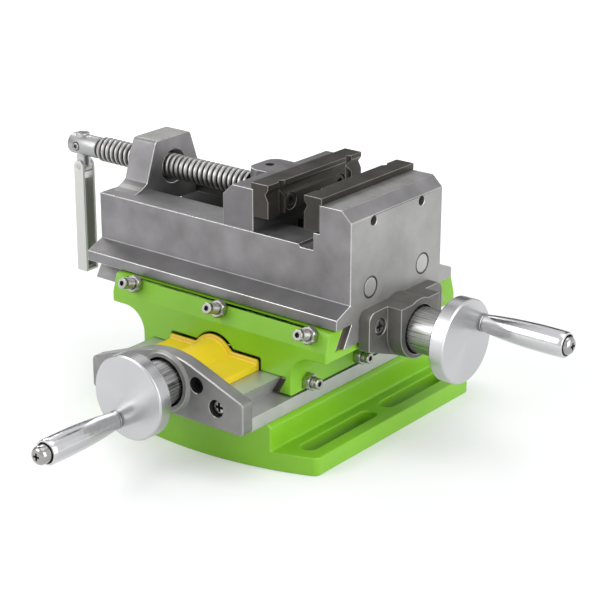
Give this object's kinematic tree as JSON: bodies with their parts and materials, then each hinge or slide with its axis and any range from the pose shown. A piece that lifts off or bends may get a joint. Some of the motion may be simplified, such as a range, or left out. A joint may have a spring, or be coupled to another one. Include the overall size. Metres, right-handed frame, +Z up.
{
  "type": "cross slide vise",
  "caption": "Compound cross slide drill-press vise: slotted base, two dovetail slides with handwheels, grooved jaw plates and a spindle with a folding lever.",
  "frame": {"origin": "middle of the base's underside, on the lower slide's centre line", "axes": "+X along the vise towards the fixed jaw and its handwheel, +Y along the lower slide away from its handwheel, +Z up"},
  "size_m": [0.3307, 0.2727, 0.1366],
  "materials": {
    "painted_casting": "gloss paint",
    "ground_iron": "ground and satin",
    "way_iron": "machined",
    "bracket_iron": "satin",
    "black_steel": "black oxide",
    "bright_steel": "bright",
    "turned_aluminium": "turned",
    "chrome": "polished",
    "yellow_plastic": "gloss",
    "bronze": "machined"
  },
  "bodies": {
    "base": {"base_casting": "painted_casting", "lower_way": "way_iron", "way_screws": "black_steel", "lower_end_bracket": "bracket_iron", "lower_bracket_screws": "bright_steel", "chip_cover": "yellow_plastic"},
    "saddle": {"saddle_casting": "painted_casting", "lower_gib": "way_iron", "upper_gib": "way_iron", "lower_gib_screws": "bright_steel", "lower_gib_nuts": "bright_steel", "upper_gib_screws": "bright_steel", "upper_gib_nuts": "bright_steel", "lower_screw_nut": "bronze", "upper_screw_nut": "bronze"},
    "body": {"vise_body": "ground_iron", "body_plugs": "ground_iron", "upper_end_bracket": "bracket_iron", "upper_bracket_screws": "bright_steel", "fixed_jaw_plate": "black_steel", "fixed_plate_screws": "black_steel"},
    "lower_screw": {"lower_leadscrew": "bright_steel", "lower_thrust_ring": "bright_steel", "lower_collar": "turned_aluminium", "lower_handwheel": "turned_aluminium", "lower_handle_screw": "bright_steel"},
    "upper_screw": {"upper_leadscrew": "bright_steel", "upper_thrust_ring": "bright_steel", "upper_collar": "turned_aluminium", "upper_handwheel": "turned_aluminium", "upper_handle_screw": "bright_steel"},
    "lower_grip": {"lower_handle": "chrome"},
    "upper_grip": {"upper_handle": "chrome"},
    "jaw": {"moving_jaw": "ground_iron", "moving_jaw_plate": "black_steel", "moving_plate_screws": "black_steel", "keeper": "way_iron", "keeper_screws": "black_steel", "spindle_retainer": "bright_steel"},
    "screw_bar": {"spindle": "bright_steel", "spindle_set_screw": "black_steel", "tongue": "bright_steel", "lever_pin": "bright_steel"},
    "lever": {"folding_lever": "bright_steel"}
  },
  "joints": [
    {"name": "cross_slide", "type": "slide", "parent": "base", "child": "saddle", "axis": [0, 1, 0], "range_m": [-0.031, 0.034]},
    {"name": "long_slide", "type": "slide", "parent": "saddle", "child": "body", "axis": [1, 0, 0], "range_m": [-0.0015, 0.038]},
    {"name": "lower_wheel_turn", "type": "hinge", "parent": "base", "child": "lower_screw", "pos_m": [0, 0, 0.0422], "axis": [0, 1, 0], "range_deg": [-3740, 4100]},
    {"name": "upper_wheel_turn", "type": "hinge", "parent": "body", "child": "upper_screw", "pos_m": [0, -0.0013, 0.0631], "axis": [1, 0, 0], "range_deg": [-200, 4580]},
    {"name": "lower_grip_spin", "type": "hinge", "parent": "lower_screw", "child": "lower_grip", "pos_m": [-0.0084, -0.126, 0.02823], "axis": [0, -1, 0], "continuous": true},
    {"name": "upper_grip_spin", "type": "hinge", "parent": "upper_screw", "child": "upper_grip", "pos_m": [0.1189, 0.01388, 0.06905], "axis": [1, 0, 0], "continuous": true},
    {"name": "jaw_slide", "type": "slide", "parent": "body", "child": "jaw", "axis": [1, 0, 0], "range_m": [-0.058, 0.023]},
    {"name": "spindle_turn", "type": "hinge", "parent": "jaw", "child": "screw_bar", "pos_m": [0, -0.0013, 0.1193], "axis": [1, 0, 0], "range_deg": [-5980, 2380]},
    {"name": "lever_fold", "type": "hinge", "parent": "screw_bar", "child": "lever", "pos_m": [-0.1485, -0.0013, 0.1065], "axis": [0, 1, 0], "range_deg": [0, 95]}
  ],
  "couplings": [
    {"joint": "lower_wheel_turn", "follows": "cross_slide", "rad_per_m": 2094.4},
    {"joint": "upper_wheel_turn", "follows": "long_slide", "rad_per_m": 2094.4},
    {"joint": "spindle_turn", "follows": "jaw_slide", "rad_per_m": 1795.2}
  ]
}
